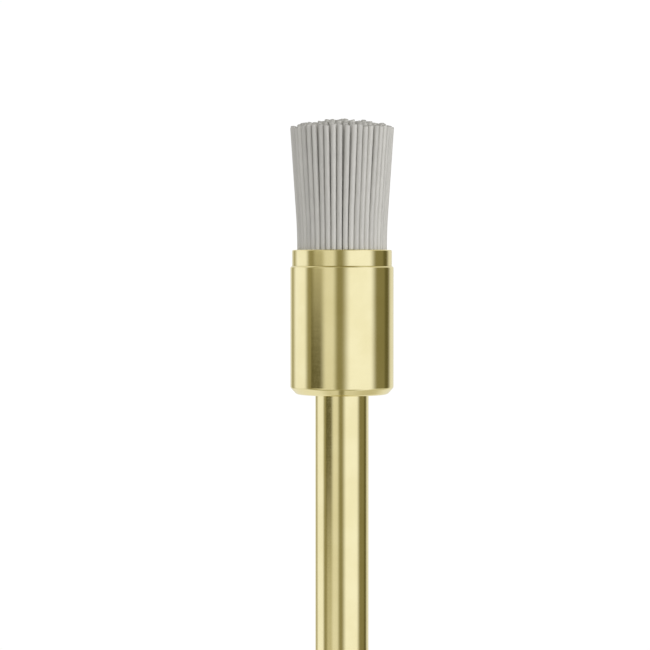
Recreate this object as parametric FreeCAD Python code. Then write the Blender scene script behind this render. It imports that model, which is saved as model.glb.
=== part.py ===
"""Rotary bristle brush for polishing teeth, on a latch-type shank for a right-angle handpiece.

A turned ferrule is riveted on the end of a round shank. The brush is one dense bundle of stiff nylon
filaments in concentric rows. Their lower ends are melted together into a flat butt, the butt sits on
the floor of the ferrule's cup, and the cup's rim is swaged inwards round the filaments to hold them.

Origin: on the axis, at the ferrule's flat underside, where the bare shank begins.
+Z runs along the axis towards the bristle tips. Sizes are in millimetres.
"""

import FreeCAD, Part
import math
import os

# Shank: a plain cylinder with a latch end and a riveted spigot
SHANK_RADIUS = 2.35 / 2
SHANK_LENGTH = 15.8
SHANK_END_CHAMFER = 0.15
LATCH_FLAT_LENGTH = 3.65
LATCH_FLAT_DEPTH = 0.58
LATCH_GROOVE_FROM_END = 1.5
LATCH_GROOVE_WIDTH = 0.75
LATCH_GROOVE_RADIUS = 0.8
SPIGOT_RADIUS = 0.9
SPIGOT_FLUTES = 12
SPIGOT_FLUTE_RADIUS = 0.07

# Ferrule: a cup with a swaged rim
FERRULE_RADIUS = 4.55 / 2
FERRULE_HEIGHT = 6.36
FERRULE_BASE_CHAMFER = 0.30
FERRULE_BASE_INSET = 0.27
CUP_FLOOR = 1.6
CUP_RADIUS = 2.065
RIVET_HEAD_RADIUS = 1.2
RIM_RADIUS = 4.40 / 2
RIM_HEIGHT = 0.71
RIM_EDGE = 0.04
SHOULDER_EDGE = 0.06
NECK_RADIUS = 1.99
NECK_CONE = 0.3

# Butt: the filaments' melted lower ends
BUTT_RADIUS = 2.05
BUTT_THICKNESS = 0.55
BUTT_CHAMFER = 0.08

# Filaments: a centre one, and evenly spaced rows out to the neck
FILAMENT_RADIUS = 0.235 / 2
NECK_CLEARANCE = 0.0125
ROW_STEPS = 7
CENTRE_HEIGHT = 5.70
OUTER_HEIGHT = 5.39
OUTER_FLARE = 0.31
BEND_SHARE = 0.3
# The rows round the centre filament, from the outside in: name, row number, filaments, tufts.
# The filaments of a tuft are neighbours in one row and bend together.
ROWS = [
    ("outer_row", 7, 48, 16),
    ("second_row", 6, 40, 8),
    ("third_row", 5, 32, 8),
    ("fourth_row", 4, 24, 8),
    ("fifth_row", 3, 20, 5),
    ("sixth_row", 2, 12, 4),
    ("inner_row", 1, 6, 3),
]

UP = FreeCAD.Vector(0, 0, 1)
CENTRE = FreeCAD.Vector(0, 0, 0)
RIM_Z = FERRULE_HEIGHT
SHOULDER_Z = FERRULE_HEIGHT - RIM_HEIGHT
BUTT_TOP = CUP_FLOOR + BUTT_THICKNESS
OUTER_ROW_RADIUS = NECK_RADIUS - NECK_CLEARANCE - FILAMENT_RADIUS


def turned(outline):
    """The solid that a closed outline of (radius, height) points makes when it turns about Z."""
    points = [FreeCAD.Vector(r, 0, z) for r, z in outline]
    face = Part.Face(Part.makePolygon(points + points[:1]))
    return face.revolve(CENTRE, UP, 360)


def cylinder(radius, height, x, y, z):
    """An upright cylinder on the point x, y, z."""
    return Part.makeCylinder(radius, height, FreeCAD.Vector(x, y, z), UP)


def shank():
    """The mandrel: chamfered latch end, round grip, and a fluted spigot headed over in the cup."""
    end = -SHANK_LENGTH
    head_start = CUP_FLOOR - (RIVET_HEAD_RADIUS - SPIGOT_RADIUS)
    body = turned(
        [
            (0, end),
            (SHANK_RADIUS - SHANK_END_CHAMFER, end),
            (SHANK_RADIUS, end + SHANK_END_CHAMFER),
            (SHANK_RADIUS, 0),
            (SPIGOT_RADIUS, 0),
            (SPIGOT_RADIUS, head_start),
            (RIVET_HEAD_RADIUS, CUP_FLOOR),
            (0, CUP_FLOOR),
        ]
    )
    groove_z = end + LATCH_GROOVE_FROM_END
    groove = cylinder(2 * SHANK_RADIUS, LATCH_GROOVE_WIDTH, 0, 0, groove_z).cut(
        cylinder(LATCH_GROOVE_RADIUS, LATCH_GROOVE_WIDTH, 0, 0, groove_z)
    )
    flat = Part.makeBox(
        SHANK_RADIUS,
        4 * SHANK_RADIUS,
        2 * LATCH_FLAT_LENGTH,
        FreeCAD.Vector(
            SHANK_RADIUS - LATCH_FLAT_DEPTH, -2 * SHANK_RADIUS, end - LATCH_FLAT_LENGTH
        ),
    )
    cutters = [groove, flat]
    for n in range(SPIGOT_FLUTES):
        turn = 2 * math.pi * n / SPIGOT_FLUTES
        x, y = SPIGOT_RADIUS * math.cos(turn), SPIGOT_RADIUS * math.sin(turn)
        cutters.append(cylinder(SPIGOT_FLUTE_RADIUS, head_start, x, y, 0))
    return body.cut(Part.makeCompound(cutters))


def ferrule():
    """The cup: chamfered base, floor with a countersunk hole, and a rim swaged in to a neck."""
    return turned(
        [
            (SPIGOT_RADIUS, 0),
            (FERRULE_RADIUS - FERRULE_BASE_INSET, 0),
            (FERRULE_RADIUS, FERRULE_BASE_CHAMFER),
            (FERRULE_RADIUS, SHOULDER_Z - SHOULDER_EDGE),
            (FERRULE_RADIUS - SHOULDER_EDGE, SHOULDER_Z),
            (RIM_RADIUS, SHOULDER_Z),
            (RIM_RADIUS, RIM_Z - RIM_EDGE),
            (RIM_RADIUS - RIM_EDGE, RIM_Z),
            (NECK_RADIUS, RIM_Z),
            (NECK_RADIUS, SHOULDER_Z),
            (CUP_RADIUS, SHOULDER_Z - NECK_CONE),
            (CUP_RADIUS, CUP_FLOOR),
            (RIVET_HEAD_RADIUS, CUP_FLOOR),
            (SPIGOT_RADIUS, CUP_FLOOR - (RIVET_HEAD_RADIUS - SPIGOT_RADIUS)),
        ]
    )


def fused_butt():
    """The disc of melted filament ends on the cup's floor, too wide to pass the neck."""
    return turned(
        [
            (0, CUP_FLOOR),
            (BUTT_RADIUS - BUTT_CHAMFER, CUP_FLOOR),
            (BUTT_RADIUS, CUP_FLOOR + BUTT_CHAMFER),
            (BUTT_RADIUS, BUTT_TOP - BUTT_CHAMFER),
            (BUTT_RADIUS - BUTT_CHAMFER, BUTT_TOP),
            (0, BUTT_TOP),
        ]
    )


def row_radius(row):
    """The distance of a row's filaments from the axis, up to the rim."""
    return OUTER_ROW_RADIUS * row / ROW_STEPS


def filament_root(row, turn):
    """The straight length of one filament, from the butt to the rim."""
    r = row_radius(row)
    x, y = r * math.cos(turn), r * math.sin(turn)
    return cylinder(FILAMENT_RADIUS, RIM_Z - BUTT_TOP, x, y, BUTT_TOP)


def free_filament(row, turn):
    """The length of one filament above the rim: an arc near the rim, then a straight run that leans out."""
    share = row / ROW_STEPS
    height = CENTRE_HEIGHT - (CENTRE_HEIGHT - OUTER_HEIGHT) * share**2
    bend_height = BEND_SHARE * height
    lean = math.atan(OUTER_FLARE * share / (height - bend_height / 2))
    arc_radius = bend_height / math.sin(lean)
    foot = FreeCAD.Vector(row_radius(row), 0, RIM_Z)
    section = Part.Face(Part.Wire(Part.makeCircle(FILAMENT_RADIUS, foot, UP)))
    pivot = foot + FreeCAD.Vector(arc_radius, 0, 0)
    bend = section.revolve(pivot, FreeCAD.Vector(0, 1, 0), math.degrees(lean))
    bend_end = pivot + FreeCAD.Vector(-math.cos(lean), 0, math.sin(lean)) * arc_radius
    along = FreeCAD.Vector(math.sin(lean), 0, math.cos(lean))
    run_length = (height - bend_height) / math.cos(lean)
    run = Part.makeCylinder(FILAMENT_RADIUS, run_length, bend_end, along)
    return bend.fuse(run).rotate(CENTRE, UP, math.degrees(turn))


def centre_bristle():
    """The one filament on the axis, whole from the butt to its tip."""
    return cylinder(FILAMENT_RADIUS, RIM_Z + CENTRE_HEIGHT - BUTT_TOP, 0, 0, BUTT_TOP)


def turns(count):
    """The angles of a row's filaments, evenly spaced and clear of angle 0."""
    return [2 * math.pi * (n + 0.5) / count for n in range(count)]


def tuft(row, count, tufts, number):
    """The free lengths of neighbouring filaments of one row, as a group of separate solids."""
    each = count // tufts
    mine = turns(count)[each * number : each * (number + 1)]
    return Part.makeCompound([free_filament(row, turn) for turn in mine])


def bristle_roots():
    """The held lengths of every row's filaments, inside the cup."""
    return Part.makeCompound(
        [filament_root(row, turn) for _, row, count, _ in ROWS for turn in turns(count)]
    )


def main():
    os.makedirs("parts", exist_ok=True)
    nodes = {
        "shank": shank(),
        "ferrule": ferrule(),
        "fused_butt": fused_butt(),
        "bristle_roots": bristle_roots(),
        "centre_bristle": centre_bristle(),
    }
    for name, row, count, tufts in ROWS:
        for number in range(tufts):
            nodes[f"{name}_tuft_{number + 1:02d}"] = tuft(row, count, tufts, number)
    for name, shape in nodes.items():
        shape.exportStep(f"parts/{name}.step")
        solids = shape.Solids
        valid = all(s.isValid() for s in solids)
        print(f"{name}: {len(solids)} solids, valid {valid}, {shape.Volume:.4f} mm3")


main()
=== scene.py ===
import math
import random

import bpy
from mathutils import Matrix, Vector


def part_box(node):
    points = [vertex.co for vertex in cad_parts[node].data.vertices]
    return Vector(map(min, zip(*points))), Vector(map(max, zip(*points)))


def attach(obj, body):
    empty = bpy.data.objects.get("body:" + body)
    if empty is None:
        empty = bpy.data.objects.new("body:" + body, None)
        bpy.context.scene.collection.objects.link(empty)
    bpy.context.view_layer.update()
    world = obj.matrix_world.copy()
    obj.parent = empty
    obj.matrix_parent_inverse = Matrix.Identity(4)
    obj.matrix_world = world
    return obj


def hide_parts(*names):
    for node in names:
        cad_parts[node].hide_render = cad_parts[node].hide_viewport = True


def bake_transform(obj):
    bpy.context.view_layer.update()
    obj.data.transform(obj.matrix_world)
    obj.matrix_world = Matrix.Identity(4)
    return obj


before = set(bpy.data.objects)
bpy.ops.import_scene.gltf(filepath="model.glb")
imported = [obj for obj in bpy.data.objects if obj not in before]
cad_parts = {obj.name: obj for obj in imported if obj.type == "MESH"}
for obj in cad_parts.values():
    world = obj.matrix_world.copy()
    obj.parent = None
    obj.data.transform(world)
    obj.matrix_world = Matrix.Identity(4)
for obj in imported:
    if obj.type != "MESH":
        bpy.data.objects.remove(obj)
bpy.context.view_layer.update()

# The finished look of a rotary polishing brush: a turned gold ferrule on a gold latch-type shank, and a
# dense bundle of grey nylon bristles. Lengths named here are in millimetres, and meshes are in metres.
# Angles named here are in degrees.

MM = 0.001
BODY = "brush_body"
random.seed(3)

# Ferrule and butt: their outer sizes come from the frame
FERRULE_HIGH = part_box("ferrule")[1]
FERRULE_RADIUS = FERRULE_HIGH.x / MM
RIM_Z = FERRULE_HIGH.z / MM
RIM_HEIGHT = 0.71
RIM_RADIUS = 2.20
SHOULDER_Z = RIM_Z - RIM_HEIGHT
BASE_CHAMFER = 0.30
BASE_INSET = 0.27
NECK_RADIUS = 1.99
NECK_CONE = 0.3
CUP_RADIUS = 2.065
BUTT_LOW, BUTT_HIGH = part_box("fused_butt")
CUP_FLOOR = BUTT_LOW.z / MM
BUTT_TOP = BUTT_HIGH.z / MM
BUTT_RADIUS = BUTT_HIGH.x / MM

# Shank, with a latch end and a riveted spigot
SHANK_RADIUS = 1.175
SHANK_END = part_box("shank")[0].z / MM
SPIGOT_RADIUS = 0.9
RIVET_HEAD_RADIUS = 1.2
RIVET_HEAD_LOW = CUP_FLOOR - (RIVET_HEAD_RADIUS - SPIGOT_RADIUS)
LATCH_FLAT_LENGTH = 3.65
LATCH_FLAT_DEPTH = 0.58
LATCH_GROOVE_FROM_END = 1.5
LATCH_GROOVE_WIDTH = 0.75
LATCH_GROOVE_RADIUS = 0.8
CUTTER_MARGIN = 1
FLAT_TOLERANCE = 0.01

# How round the turned corners are
BASE_LOW_ROUNDING = 0.20
BASE_HIGH_ROUNDING = 0.14
SHOULDER_ROUNDING = 0.10
RIM_OUTER_ROUNDING = 0.06
RIM_INNER_ROUNDING = 0.04
BUTT_ROUNDING = 0.12
SHANK_END_ROUNDING = 0.15
GROOVE_ROUNDING = 0.04

# Turned meshes: their segments, and the points beside a corner that keep a long run's shading flat
LATHE_SEGMENTS = 240
BUTT_SEGMENTS = 96
HOLDING_GAP = 0.012
LONG_RUN = 8 * HOLDING_GAP

# Edges that turn by more than this shade as sharp ones
SHARP_METAL = 30
SHARP_NYLON = 50

# Bristles: rows round a centre one, as name, row number, bristles and tufts
BRISTLE_RADIUS = 0.1165
ROW_STEPS = 7
CENTRE_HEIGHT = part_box("centre_bristle")[1].z / MM - RIM_Z
OUTER_HEIGHT = 5.39
OUTER_ROW_RADIUS = 1.86
OUTER_FLARE = 0.31
BEND_SHARE = 0.3
ROWS = [
    ("outer_row", 7, 48, 16),
    ("second_row", 6, 40, 8),
    ("third_row", 5, 32, 8),
    ("fourth_row", 4, 24, 8),
    ("fifth_row", 3, 20, 5),
    ("sixth_row", 2, 12, 4),
    ("inner_row", 1, 6, 3),
]
BRISTLE_SIDES = 16
FREE_RINGS = 14
TIP_RINGS = 5
LAST_ROOT_RING_DEPTH = 0.4

# How uneven the bristles are. The outer row is held to smaller differences than the rows inside it.
# The play is the room that each bristle keeps round itself, and a higher evenness makes gaps more alike.
BRISTLE_PLAY = 0.002
ROOT_EVENNESS = 0.02
TIP_EVENNESS = 0.22
OUTER_HEIGHT_JITTER = 0.045
HEIGHT_JITTER = 0.075
OUTER_REACH_JITTER = 0.012
REACH_JITTER = 0.030
MOST_SWAY = 0.008
THINNEST = 0.98
STEEPEST_CUT = 0.30
LEAST_TIP_ROUNDING = 0.30
MOST_TIP_ROUNDING = 0.50
TIP_CROWN = 0.06

# Camera: straight in front of the brush, level with its ferrule, turned a little to the left and down
CAMERA_DISTANCE = 97.0
CAMERA_HEIGHT = 5.27
CAMERA_YAW = 0.443
CAMERA_PITCH = -1.31
CAMERA_LENS = 121.8

# Gold finish. Texture scales are in features per metre. A finish varies between GLOSSIER and ROUGHER than
# its named roughness.
GOLD = (0.92, 0.845, 0.52)
TARNISH_TINT = (0.955, 0.945, 0.90)
CLOUD_SCALE = 700.0
RING_SCALE = 900.0
RING_SQUEEZE = 60.0
METAL_GRAIN_SCALE = 25000.0
LATHE_PITCH = 0.045
LATHE_RELIEF_SHARE = 0.25
LATHE_RELIEF = 0.0006
LATHE_BUMP = 0.25
GLOSSIER = 0.03
ROUGHER = 0.05

# Nylon. The depths say how much each effect changes its brightness.
GREY_NYLON = (0.668, 0.656, 0.618)
MELTED_NYLON = (0.16, 0.16, 0.15)
DARKEST_TONE = 0.90
TONE_RANGE = 0.16
GRIT_SCALE = 38000.0
GRIT_CORE = 0.12
GRIT_EDGE = 0.30
GRIT_DEPTH = 0.16
STREAK_SCALE = 22000.0
STREAK_STRETCH = 0.06
STREAK_DEPTH = 0.05
# How much painted shade darkens each bristle's rounded tip and end
PAINTED_TIP_SHADE_DEPTH = 0.27
GRIT_RELIEF_SHARE = 0.6
NYLON_RELIEF = 0.002
NYLON_BUMP = 0.35
NYLON_ROUGHNESS = (0.36, 0.50)
NYLON_IOR = 1.52

# Soft lights. Their distance is in metres.
LIGHT_DISTANCE = 0.45
TENT_STRENGTH = 0.47

# Stage: its floor is far below the brush, so that it hides nothing in a view from below
FLOOR_DROP = 120.0
STAGE_REACH = 700.0
STAGE_SIDES = 64
DOME_TIERS = 9
STAGE_WHITE = 1.02


# Meshes


def arc_corner(before, corner, after, radius, steps=6):
    """The points of an arc of that radius that rounds a corner of an outline."""
    a = (Vector(before) - Vector(corner)).normalized()
    b = (Vector(after) - Vector(corner)).normalized()
    half = a.angle(b) / 2
    centre = Vector(corner) + (a + b).normalized() * (radius / math.sin(half))
    start = Vector(corner) + a * (radius / math.tan(half)) - centre
    end = Vector(corner) + b * (radius / math.tan(half)) - centre
    turn = start.angle_signed(end)
    points = []
    for n in range(steps + 1):
        t = -turn * n / steps
        c, s = math.cos(t), math.sin(t)
        points.append(tuple(centre + Vector((start.x * c - start.y * s, start.x * s + start.y * c))))
    return points


def outline(corners):
    """A closed outline of (radius, height) points from (radius, height, rounding) corners."""
    points = []
    for n, (r, z, rounding) in enumerate(corners):
        if rounding == 0:
            points.append((r, z))
            continue
        before, after = corners[n - 1][:2], corners[(n + 1) % len(corners)][:2]
        points += arc_corner(before, (r, z), after, rounding)
    return points


def with_holding_points(points):
    """The outline with a point near both ends of each long run, so that smooth shading stays flat there."""
    held = []
    for n, p in enumerate(points):
        q = points[(n + 1) % len(points)]
        run = Vector(q) - Vector(p)
        held.append(p)
        if run.length > LONG_RUN and max(p[0], q[0]) > 0:
            step = run.normalized() * HOLDING_GAP
            held.append(tuple(Vector(p) + step))
            held.append(tuple(Vector(q) - step))
    return held


def new_piece(name, vertices, faces, material, smooth=True):
    """A mesh object from points in millimetres."""
    mesh = bpy.data.meshes.new(name)
    mesh.from_pydata([tuple(c * MM for c in v) for v in vertices], [], faces)
    mesh.polygons.foreach_set("use_smooth", [smooth] * len(mesh.polygons))
    mesh.materials.append(material)
    mesh.update()
    piece = bpy.data.objects.new(name, mesh)
    bpy.context.scene.collection.objects.link(piece)
    return piece


def lathe(name, points, material, segments=LATHE_SEGMENTS):
    """The solid that a closed outline makes when it turns about Z. Points on the axis become poles."""
    vertices, rings = [], []
    for r, z in points:
        if r == 0:
            rings.append([len(vertices)] * segments)
            vertices.append((0, 0, z))
        else:
            rings.append(list(range(len(vertices), len(vertices) + segments)))
            for k in range(segments):
                turn = 2 * math.pi * k / segments
                vertices.append((r * math.cos(turn), r * math.sin(turn), z))
    faces = []
    for n, ring in enumerate(rings):
        above = rings[(n + 1) % len(rings)]
        for k in range(segments):
            m = (k + 1) % segments
            corners = list(dict.fromkeys((ring[k], ring[m], above[m], above[k])))
            if len(corners) > 2:
                faces.append(corners)
    return new_piece(name, vertices, faces, material)


def sharpen(piece, degrees):
    """Edges that turn by more than this shade as sharp edges."""
    piece.data.set_sharp_from_angle(angle=math.radians(degrees))


# Materials


class Nodes:
    """A short way to add shader nodes to a material or a world."""

    def __init__(self, owner):
        owner.use_nodes = True
        self.tree = owner.node_tree

    def add(self, kind, inputs=None, **settings):
        """A new node. Each input is either linked to another node's output or set to a value."""
        node = self.tree.nodes.new("ShaderNode" + kind)
        for key, value in settings.items():
            setattr(node, key, value)
        for key, value in (inputs or {}).items():
            if isinstance(value, bpy.types.NodeSocket):
                self.tree.links.new(value, node.inputs[key])
            else:
                node.inputs[key].default_value = value
        return node

    def link(self, output, node, key):
        """Links an output to an input of a node that is already there."""
        self.tree.links.new(output, node.inputs[key])

    def math(self, operation, *values):
        return self.add("Math", dict(enumerate(values)), operation=operation).outputs[0]

    def fit(self, value, low, high, to_low, to_high, kind="SMOOTHSTEP"):
        """The value, with its range from low to high mapped to another one."""
        inputs = {"Value": value, "From Min": low, "From Max": high, "To Min": to_low, "To Max": to_high}
        return self.add("MapRange", inputs, interpolation_type=kind).outputs["Result"]

    def fade(self, value, start, full):
        """0 at the start value, 1 at the full value, and soft in between."""
        return self.fit(value, start, full, 0, 1)

    def darken(self, shade, mask, depth):
        """The shade, darker by that depth where the mask is 1."""
        return self.math("MULTIPLY", shade, self.math("MULTIPLY_ADD", mask, -depth, 1.0))

    def noise(self, place, scale, detail):
        return self.add("TexNoise", {"Vector": place, "Scale": scale, "Detail": detail}).outputs["Fac"]

    def spread(self, noise, low, high):
        """A noise, most of which lies between 0.3 and 0.7, spread over another range."""
        return self.fit(noise, 0.3, 0.7, low, high)

    def scaled(self, place, scale):
        return self.add("Mapping", {"Vector": place, "Scale": scale}).outputs["Vector"]

    def blend(self, factor, a, b):
        return self.add("Mix", {"Factor": factor, "A": a, "B": b}, data_type="RGBA").outputs["Result"]

    def ramp(self, value, stops, interpolation="EASE"):
        """The colour at a value, between stops of a position and a colour."""
        node = self.add("ValToRGB", {"Fac": value})
        node.color_ramp.interpolation = interpolation
        elements = node.color_ramp.elements
        while len(elements) < len(stops):
            elements.new(0.5)
        for element, (position, _) in zip(elements, stops):
            element.position = position
        for element, (_, colour) in zip(elements, stops):
            element.color = (*colour, 1)
        return node.outputs["Color"]


def gold(name, roughness):
    """Polished gold-finished metal with fine lathe marks, soft tarnish clouds and a fine grain."""
    material = bpy.data.materials.new(name)
    nodes = Nodes(material)
    shader = nodes.tree.nodes["Principled BSDF"]
    place = nodes.add("TexCoord").outputs["Object"]
    height = nodes.add("SeparateXYZ", {"Vector": place}).outputs["Z"]
    clouds = nodes.noise(place, CLOUD_SCALE, 4.0)
    tarnished = tuple(c * k for c, k in zip(GOLD, TARNISH_TINT))
    colour = nodes.blend(nodes.spread(clouds, 0.0, 1.0), (*tarnished, 1), (*GOLD, 1))
    nodes.link(colour, shader, "Base Color")
    rings = nodes.noise(nodes.scaled(place, (1.0, 1.0, RING_SQUEEZE)), RING_SCALE, 3.0)
    grain = nodes.noise(place, METAL_GRAIN_SCALE, 2.0)
    polish = nodes.math("MULTIPLY_ADD", rings, 0.5, nodes.math("MULTIPLY", grain, 0.5))
    gloss = nodes.spread(polish, roughness - GLOSSIER, roughness + ROUGHER)
    nodes.link(gloss, shader, "Roughness")
    marks = nodes.math("SINE", nodes.math("MULTIPLY", height, 2 * math.pi / (LATHE_PITCH * MM)))
    relief = nodes.math("MULTIPLY_ADD", marks, LATHE_RELIEF_SHARE, rings)
    bump = nodes.add("Bump", {"Height": relief, "Strength": LATHE_BUMP, "Distance": LATHE_RELIEF * MM})
    nodes.link(bump.outputs["Normal"], shader, "Normal")
    shader.inputs["Metallic"].default_value = 1.0
    return material


def nylon(name, base):
    """Extruded nylon filled with abrasive: satin, drawn lengthwise and peppered with grit.

    Each bristle has its own tone, and its rounded tip and end are darkened with painted shade.
    """
    material = bpy.data.materials.new(name)
    nodes = Nodes(material)
    shader = nodes.tree.nodes["Principled BSDF"]
    place = nodes.add("TexCoord").outputs["Object"]
    tone = nodes.add("NewGeometry").outputs["Random Per Island"]
    grit = nodes.add("TexVoronoi", {"Vector": place, "Scale": GRIT_SCALE}).outputs["Distance"]
    speck = nodes.fit(grit, GRIT_CORE, GRIT_EDGE, 1.0, 0.0)
    streaks = nodes.noise(nodes.scaled(place, (1.0, 1.0, STREAK_STRETCH)), STREAK_SCALE, 3.0)
    streak_shade = nodes.spread(streaks, -STREAK_DEPTH, STREAK_DEPTH)
    shade = nodes.math("MULTIPLY_ADD", tone, TONE_RANGE, streak_shade)
    shade = nodes.math("ADD", shade, DARKEST_TONE)
    shade = nodes.darken(shade, speck, GRIT_DEPTH)
    # Painted shade: each bristle's tip and end are darker where this mask is 1
    painted_tip_shade = nodes.add("Attribute", attribute_name="painted_tip_shade").outputs["Fac"]
    shade = nodes.darken(shade, painted_tip_shade, PAINTED_TIP_SHADE_DEPTH)
    colour = nodes.add("VectorMath", {0: base, "Scale": shade}, operation="SCALE").outputs["Vector"]
    nodes.link(colour, shader, "Base Color")
    nodes.link(nodes.spread(streaks, *NYLON_ROUGHNESS), shader, "Roughness")
    relief = nodes.math("MULTIPLY_ADD", speck, GRIT_RELIEF_SHARE, streaks)
    bump = nodes.add("Bump", {"Height": relief, "Strength": NYLON_BUMP, "Distance": NYLON_RELIEF * MM})
    nodes.link(bump.outputs["Normal"], shader, "Normal")
    shader.inputs["IOR"].default_value = NYLON_IOR
    return material


# Ferrule, butt and shank


def make_ferrule(material):
    """The turned cup, with a rim that steps in from a rounded shoulder."""
    corners = [
        (SPIGOT_RADIUS, 0, 0),
        (FERRULE_RADIUS - BASE_INSET, 0, BASE_LOW_ROUNDING),
        (FERRULE_RADIUS, BASE_CHAMFER, BASE_HIGH_ROUNDING),
        (FERRULE_RADIUS, SHOULDER_Z, SHOULDER_ROUNDING),
        (RIM_RADIUS, SHOULDER_Z, 0),
        (RIM_RADIUS, RIM_Z, RIM_OUTER_ROUNDING),
        (NECK_RADIUS, RIM_Z, RIM_INNER_ROUNDING),
        (NECK_RADIUS, SHOULDER_Z, 0),
        (CUP_RADIUS, SHOULDER_Z - NECK_CONE, 0),
        (CUP_RADIUS, CUP_FLOOR, 0),
        (RIVET_HEAD_RADIUS, CUP_FLOOR, 0),
        (SPIGOT_RADIUS, RIVET_HEAD_LOW, 0),
    ]
    piece = lathe("ferrule_cup", with_holding_points(outline(corners)), material)
    sharpen(piece, SHARP_METAL)
    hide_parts("ferrule")
    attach(piece, BODY)


def make_butt(material):
    """The disc of melted filament ends, with soft edges."""
    corners = [
        (0, CUP_FLOOR, 0),
        (BUTT_RADIUS, CUP_FLOOR, BUTT_ROUNDING),
        (BUTT_RADIUS, BUTT_TOP, BUTT_ROUNDING),
        (0, BUTT_TOP, 0),
    ]
    piece = lathe("fused_butt_disc", outline(corners), material, segments=BUTT_SEGMENTS)
    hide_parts("fused_butt")
    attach(piece, BODY)


def make_shank(material, milled):
    """The mandrel, with its latch groove and flat, and the riveted spigot inside the ferrule."""
    groove_low = SHANK_END + LATCH_GROOVE_FROM_END
    groove_high = groove_low + LATCH_GROOVE_WIDTH
    corners = [
        (0, SHANK_END, 0),
        (SHANK_RADIUS, SHANK_END, SHANK_END_ROUNDING),
        (SHANK_RADIUS, groove_low, GROOVE_ROUNDING),
        (LATCH_GROOVE_RADIUS, groove_low, GROOVE_ROUNDING),
        (LATCH_GROOVE_RADIUS, groove_high, GROOVE_ROUNDING),
        (SHANK_RADIUS, groove_high, GROOVE_ROUNDING),
        (SHANK_RADIUS, 0, 0),
        (SPIGOT_RADIUS, 0, 0),
        (SPIGOT_RADIUS, RIVET_HEAD_LOW, 0),
        (RIVET_HEAD_RADIUS, CUP_FLOOR, 0),
        (0, CUP_FLOOR, 0),
    ]
    piece = lathe("shank_mandrel", with_holding_points(outline(corners)), material)
    cut_latch_flat(piece, milled)
    sharpen(piece, SHARP_METAL)
    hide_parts("shank")
    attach(piece, BODY)


def cut_latch_flat(piece, milled):
    """Takes the flat off the shank's latch end, on the +X side, and gives the cut its milled finish."""
    face_x = SHANK_RADIUS - LATCH_FLAT_DEPTH
    low = Vector((face_x, -2 * SHANK_RADIUS, SHANK_END - CUTTER_MARGIN))
    high = Vector((2 * SHANK_RADIUS, 2 * SHANK_RADIUS, SHANK_END + LATCH_FLAT_LENGTH))
    vertices = [(x, y, z) for x in (low.x, high.x) for y in (low.y, high.y) for z in (low.z, high.z)]
    faces = [(0, 1, 3, 2), (4, 6, 7, 5), (0, 4, 5, 1), (2, 3, 7, 6), (0, 2, 6, 4), (1, 5, 7, 3)]
    cutter = new_piece("cutter", vertices, faces, piece.data.materials[0], smooth=False)
    cut = piece.modifiers.new("flat", "BOOLEAN")
    cut.operation = "DIFFERENCE"
    cut.object = cutter
    cut.solver = "EXACT"
    scene_graph = bpy.context.evaluated_depsgraph_get()
    mesh = bpy.data.meshes.new_from_object(piece.evaluated_get(scene_graph))
    piece.modifiers.clear()
    piece.data = mesh
    bpy.data.objects.remove(cutter)
    mesh.materials.append(milled)
    for polygon in mesh.polygons:
        off_flat = abs(polygon.center.x - face_x * MM)
        if polygon.normal.x > 0.999 and off_flat < FLAT_TOLERANCE * MM:
            polygon.material_index = 1
            polygon.use_smooth = False


# Bristles


def row_radius(row):
    """How far a row's bristles stand from the axis inside the ferrule."""
    return OUTER_ROW_RADIUS * row / ROW_STEPS


def row_flare(row):
    """How much further out a row's tips are."""
    return OUTER_FLARE * row / ROW_STEPS


def row_height(row):
    """How far a row's bristles stand out of the rim."""
    return CENTRE_HEIGHT - (CENTRE_HEIGHT - OUTER_HEIGHT) * (row / ROW_STEPS) ** 2


def spread_turns(reach, shares):
    """The angles of a row's bristles round the axis, in order, with the spare room shared out as gaps."""
    count = len(shares)
    width = 2 * math.asin((BRISTLE_RADIUS + BRISTLE_PLAY) / reach)
    spare = 2 * math.pi - count * width
    turn, turns = 0.0, []
    for share in shares:
        turns.append(turn + width / 2)
        turn += width + spare * share / sum(shares)
    drift = sum(t - 2 * math.pi * (n + 0.5) / count for n, t in enumerate(turns)) / count
    return [t - drift for t in turns]


def lean_share(t):
    """How far out a bristle has leaned at a share of its free length: a bend first, then a straight run."""
    bent = min(t, BEND_SHARE)
    return (bent * bent / (2 * BEND_SHARE) + t - bent) / (1 - BEND_SHARE / 2)


def bristle_path(row, root_turn, tip_turn, height):
    """The centre line of one bristle as points: straight in the ferrule, then leaning out to its tip."""
    r = row_radius(row)
    root = Vector((r * math.cos(root_turn), r * math.sin(root_turn), 0))
    jitter = OUTER_REACH_JITTER if row == ROW_STEPS else REACH_JITTER
    reach = r + row_flare(row) + random.uniform(-1, 1) * jitter
    lean = Vector((reach * math.cos(tip_turn), reach * math.sin(tip_turn), 0)) - root
    sway_turn = random.uniform(0, 2 * math.pi)
    sway = random.uniform(0, MOST_SWAY)
    root_heights = (BUTT_TOP, (BUTT_TOP + RIM_Z) / 2, RIM_Z - LAST_ROOT_RING_DEPTH)
    points = [root + Vector((0, 0, z)) for z in root_heights]
    for n in range(FREE_RINGS + 1):
        t = n / FREE_RINGS
        side = Vector((math.cos(sway_turn), math.sin(sway_turn), 0)) * sway * math.sin(math.pi * t) ** 2
        points.append(root + lean * lean_share(t) + side + Vector((0, 0, RIM_Z + height * t)))
    return points


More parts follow.
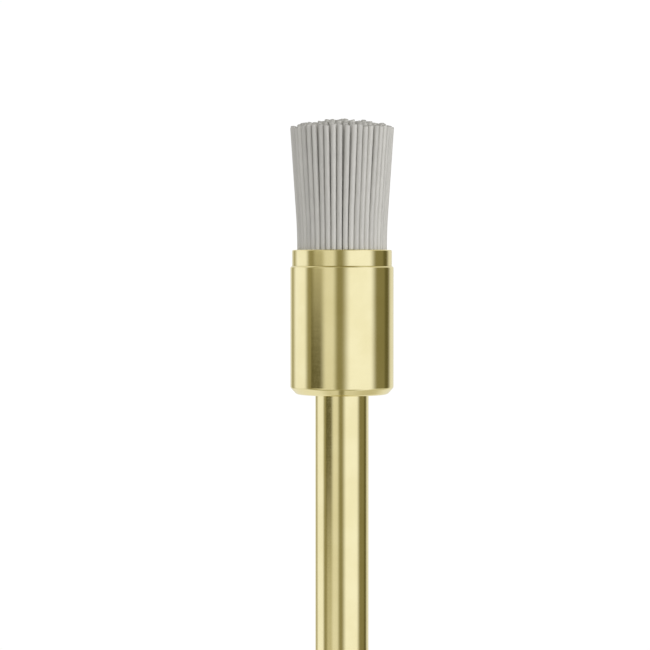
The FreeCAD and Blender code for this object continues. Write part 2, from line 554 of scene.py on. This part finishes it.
def add_bristle(vertices, faces, painted_tip_shade_marks, path, radius):
    """A closed tube along the path, with a clipped tip whose rim is slightly rounded and tilted."""
    cut_turn = random.uniform(0, 2 * math.pi)
    cut_slope = random.uniform(0.0, STEEPEST_CUT)
    rounding = random.uniform(LEAST_TIP_ROUNDING, MOST_TIP_ROUNDING)
    tip, before = path[-1], path[-2]
    along = (tip - before).normalized()
    rings = [(p, radius) for p in path[:-1]]
    first_tip_ring = len(rings)
    for n in range(TIP_RINGS):
        bend = math.pi / 2 * n / (TIP_RINGS - 1)
        back = rounding * radius * (1 - math.sin(bend))
        rings.append((tip - along * back, radius * (1 - rounding * (1 - math.cos(bend)))))
    first, last = len(vertices), len(rings) - 1
    for n, (centre, r) in enumerate(rings):
        ahead = (rings[min(n + 1, last)][0] - rings[max(n - 1, 0)][0]).normalized()
        side = Vector((0, 1, 0)).cross(ahead).normalized()
        other = ahead.cross(side)
        tilt = cut_slope if n >= first_tip_ring else 0
        for k in range(BRISTLE_SIDES):
            turn = 2 * math.pi * k / BRISTLE_SIDES
            p = centre + (side * math.cos(turn) + other * math.sin(turn)) * r
            p += ahead * (tilt * r * math.cos(turn - cut_turn))
            vertices.append(tuple(p))
            # The tip's rings after the first are marked for painted shade
            painted_tip_shade_marks.append(float(n > first_tip_ring))
    for n in range(last):
        a, b = first + n * BRISTLE_SIDES, first + (n + 1) * BRISTLE_SIDES
        for k in range(BRISTLE_SIDES):
            m = (k + 1) % BRISTLE_SIDES
            faces.append((a + k, a + m, b + m, b + k))
    crown = tip + along * TIP_CROWN * radius
    vertices += [tuple(rings[0][0]), tuple(crown)]
    # The end's crown gets painted shade, and the root's centre gets none
    painted_tip_shade_marks += [0.0, 1.0]
    top = first + last * BRISTLE_SIDES
    for k in range(BRISTLE_SIDES):
        m = (k + 1) % BRISTLE_SIDES
        faces.append((first + m, first + k, len(vertices) - 2))
        faces.append((top + k, top + m, len(vertices) - 1))


def make_tuft(name, row, roots, tips, material):
    """A piece of neighbouring bristles, each whole from the butt to its tip, that bends above the rim."""
    vertices, faces, painted_tip_shade_marks = [], [], []
    jitter = OUTER_HEIGHT_JITTER if row == ROW_STEPS else HEIGHT_JITTER
    for root_turn, tip_turn in zip(roots, tips):
        height = row_height(row) + random.uniform(-1, 1) * jitter
        path = bristle_path(row, root_turn, tip_turn, height)
        radius = BRISTLE_RADIUS * random.uniform(THINNEST, 1.0)
        add_bristle(vertices, faces, painted_tip_shade_marks, path, radius)
    piece = new_piece(name, vertices, faces, material)
    # The mask of painted shade on the tips is stored on the mesh
    piece.data.attributes.new("painted_tip_shade", "FLOAT", "POINT").data.foreach_set("value", painted_tip_shade_marks)
    sharpen(piece, SHARP_NYLON)
    return piece


def make_bristles(material):
    """Every row's tufts, which splay outwards, and the centre bristle, which stays upright."""
    for name, row, count, tufts in ROWS:
        shares = [random.random() ** 2 for _ in range(count)]
        roots = spread_turns(row_radius(row), [share + ROOT_EVENNESS for share in shares])
        tip_radius = row_radius(row) + row_flare(row)
        tips = spread_turns(tip_radius, [share + TIP_EVENNESS for share in shares])
        each = count // tufts
        for n in range(tufts):
            node = f"{name}_tuft_{n + 1:02d}"
            mine = slice(each * n, each * (n + 1))
            piece = make_tuft(f"{name}_bristles_{n + 1:02d}", row, roots[mine], tips[mine], material)
            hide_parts(node, "bristle_roots")
            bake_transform(piece)
    centre = make_tuft("centre_bristle_filament", 0, [0.0], [0.0], material)
    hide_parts("centre_bristle")
    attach(centre, BODY)


# Studio

# The room that the metal mirrors: soft panels and the dark gaps between them. Each is given by the angles
# round the brush where it starts and ends, from the camera's side towards +X, and by how bright it is.
# The light fades softly from each to the next.
LEFT_SIDE = [
    (-180, -157, 0.77),
    (-147, -143, 0.42),
    (-122, -94, 0.97),
    (-79, -74, 0.30),
]
RIGHT_SIDE = [
    (-8, -2, 0.275),
    (20, 65, 1.0),
    (86, 106, 0.235),
    (116, 122, 0.125),
    (142, 180, 0.80),
]
LEVEL_ROOM = LEFT_SIDE + [(-61, -50, 0.58), (-36, -22, 0.79)] + RIGHT_SIDE

# Just below the horizon, a gap on the left is wider and darker
LOW_ROOM = LEFT_SIDE + [(-72, -52, 0.10), (-34, -22, 0.79)] + RIGHT_SIDE
LOW_ROOM_ELEVATION = -3.5
LOW_ROOM_FADE = (4.2, 1.3)

# Further up or down, the panels are broader
FAR_ROOM = [
    (-180, -110, 0.87),
    (-78, -72, 0.40),
    (-40, -22, 0.85),
    (-8, -2, 0.30),
    (20, 65, 1.0),
    (95, 125, 0.60),
    (150, 180, 0.82),
]
FAR_ROOM_FADE = (11, 22)

# Gaps in front, below and above the panels, by the elevations where each starts and is full, and its level
FRONT_GAPS = [(-32, -44, 0.42), (28, 40, 0.42)]
FRONT_FADE = (35, 75)

# Straight down and straight up, given in the same way
POLES = [(-62, -80, 0.72), (62, 78, 0.30)]

# A dark strip runs from front to back over both poles. Its place and fade are across X, as shares.
STRIP_X = -0.01
STRIP_FADE = (0.09, 0.03)
STRIP_ELEVATIONS = (42, 56)
STRIP_LEVEL = 0.26


def warm(level):
    """The colour of a panel or gap: white when bright, brownish when dark."""
    return (level, level * (0.86 + 0.14 * level), level * (0.25 + 0.75 * level))


def room_ramp(nodes, azimuth, room):
    """The colours of a room round the brush."""
    share = nodes.fit(azimuth, -180, 180, 0, 1, "LINEAR")
    stops = [((edge + 180) / 360, warm(level)) for *edges, level in room for edge in edges]
    return nodes.ramp(share, stops)


def light_reflections():
    """The surroundings that the metal mirrors: a room of soft panels, which lights nothing else."""
    world = bpy.data.worlds.new("studio")
    bpy.context.scene.world = world
    world.cycles_visibility.diffuse = False
    nodes = Nodes(world)
    direction = nodes.add("TexCoord").outputs["Generated"]
    split = nodes.add("SeparateXYZ", {"Vector": direction})
    x, y, z = (split.outputs[n] for n in "XYZ")
    azimuth = nodes.math("DEGREES", nodes.math("ARCTAN2", x, nodes.math("MULTIPLY", y, -1.0)))
    elevation = nodes.math("DEGREES", nodes.math("ARCSINE", z))
    off_level = nodes.math("ABSOLUTE", elevation)
    off_low_room = nodes.math("ABSOLUTE", nodes.math("ADD", elevation, -LOW_ROOM_ELEVATION))
    colour = room_ramp(nodes, azimuth, LEVEL_ROOM)
    low = room_ramp(nodes, azimuth, LOW_ROOM)
    colour = nodes.blend(nodes.fade(off_low_room, *LOW_ROOM_FADE), colour, low)
    far = room_ramp(nodes, azimuth, FAR_ROOM)
    colour = nodes.blend(nodes.fade(off_level, *FAR_ROOM_FADE), colour, far)
    front = nodes.fit(nodes.math("ABSOLUTE", azimuth), *FRONT_FADE, 1, 0)
    for start, full, level in FRONT_GAPS:
        factor = nodes.math("MULTIPLY", nodes.fade(elevation, start, full), front)
        colour = nodes.blend(factor, colour, (*warm(level), 1))
    for start, full, level in POLES:
        colour = nodes.blend(nodes.fade(elevation, start, full), colour, (*warm(level), 1))
    off_strip = nodes.math("ABSOLUTE", nodes.math("ADD", x, -STRIP_X))
    near_poles = nodes.fade(off_level, *STRIP_ELEVATIONS)
    strip = nodes.math("MULTIPLY", nodes.fade(off_strip, *STRIP_FADE), near_poles)
    colour = nodes.blend(strip, colour, (*warm(STRIP_LEVEL), 1))
    nodes.link(colour, nodes.tree.nodes["Background"], "Color")


def softbox(name, azimuth, elevation, size, power):
    """A square soft light that faces the brush and lights only what isn't mirror-like."""
    light = bpy.data.lights.new(name, "AREA")
    light.shape = "SQUARE"
    light.size = size
    light.energy = power
    box = bpy.data.objects.new(name, light)
    turn, rise = math.radians(azimuth), math.radians(elevation)
    away = Vector((math.sin(turn) * math.cos(rise), -math.cos(turn) * math.cos(rise), math.sin(rise)))
    box.location = away * LIGHT_DISTANCE + Vector((0, 0, RIM_Z * MM))
    box.rotation_euler = away.to_track_quat("Z", "Y").to_euler()
    box.visible_glossy = False
    box.visible_camera = False
    bpy.context.scene.collection.objects.link(box)


def luminous_card(name, vertices, faces, strength, for_camera):
    """A white stage surface that glows: either the camera sees it, or it lights what isn't mirror-like."""
    material = bpy.data.materials.new(name)
    nodes = Nodes(material)
    glow = nodes.add("Emission", {"Color": (1, 1, 1, 1), "Strength": strength})
    nodes.link(glow.outputs["Emission"], nodes.tree.nodes["Material Output"], "Surface")
    card = new_piece(name, vertices, faces, material, smooth=False)
    card.visible_camera = for_camera
    card.visible_diffuse = not for_camera
    card.visible_glossy = False
    card.visible_transmission = False
    card.visible_shadow = False


def stage_ring(radius, z):
    """The points of a level ring round the axis."""
    turns = [2 * math.pi * n / STAGE_SIDES for n in range(STAGE_SIDES)]
    return [(radius * math.cos(t), radius * math.sin(t), z) for t in turns]


def dome_mesh(lowest, highest):
    """The points and faces of a dome between two elevations, closed at the top."""
    vertices, faces = [], []
    for m in range(DOME_TIERS):
        tier = math.radians(lowest + (highest - lowest) * m / (DOME_TIERS - 1))
        vertices += stage_ring(STAGE_REACH * math.cos(tier), STAGE_REACH * math.sin(tier))
    top = (DOME_TIERS - 1) * STAGE_SIDES
    for start in range(0, top, STAGE_SIDES):
        for n in range(STAGE_SIDES):
            a, b = start + n, start + (n + 1) % STAGE_SIDES
            faces.append((a, b, b + STAGE_SIDES, a + STAGE_SIDES))
    faces.append(tuple(range(top, top + STAGE_SIDES)))
    return vertices, faces


def make_stage():
    """A plain luminous floor below the brush, a backdrop of the same white, and a soft light tent."""
    floor = stage_ring(STAGE_REACH, SHANK_END - FLOOR_DROP)
    luminous_card("floor", floor, [tuple(range(STAGE_SIDES))], STAGE_WHITE, for_camera=True)
    luminous_card("backdrop", *dome_mesh(-45, 75), STAGE_WHITE, for_camera=True)
    luminous_card("light_tent", *dome_mesh(-60, 75), TENT_STRENGTH, for_camera=False)


def make_camera():
    """The camera, in front of the brush."""
    camera = bpy.data.cameras.new("camera")
    camera.lens = CAMERA_LENS
    camera.clip_start = 0.001
    camera.clip_end = 10.0
    holder = bpy.data.objects.new("camera", camera)
    bpy.context.scene.collection.objects.link(holder)
    yaw, pitch = math.radians(CAMERA_YAW), math.radians(CAMERA_PITCH)
    holder.location = (0, -CAMERA_DISTANCE * MM, CAMERA_HEIGHT * MM)
    holder.rotation_euler = (math.pi / 2 + pitch, 0, yaw)
    bpy.context.scene.camera = holder


make_camera()
make_stage()
light_reflections()
softbox("key", azimuth=60, elevation=15, size=0.30, power=0.62)
softbox("fill", azimuth=-3, elevation=4, size=0.12, power=0.40)
bpy.context.scene.view_settings.view_transform = "Standard"
make_ferrule(gold("gold_ferrule", roughness=0.10))
make_shank(gold("gold_shank", roughness=0.11), gold("milled_gold", roughness=0.34))
make_butt(nylon("melted_nylon", MELTED_NYLON))
make_bristles(nylon("grey_nylon", GREY_NYLON))
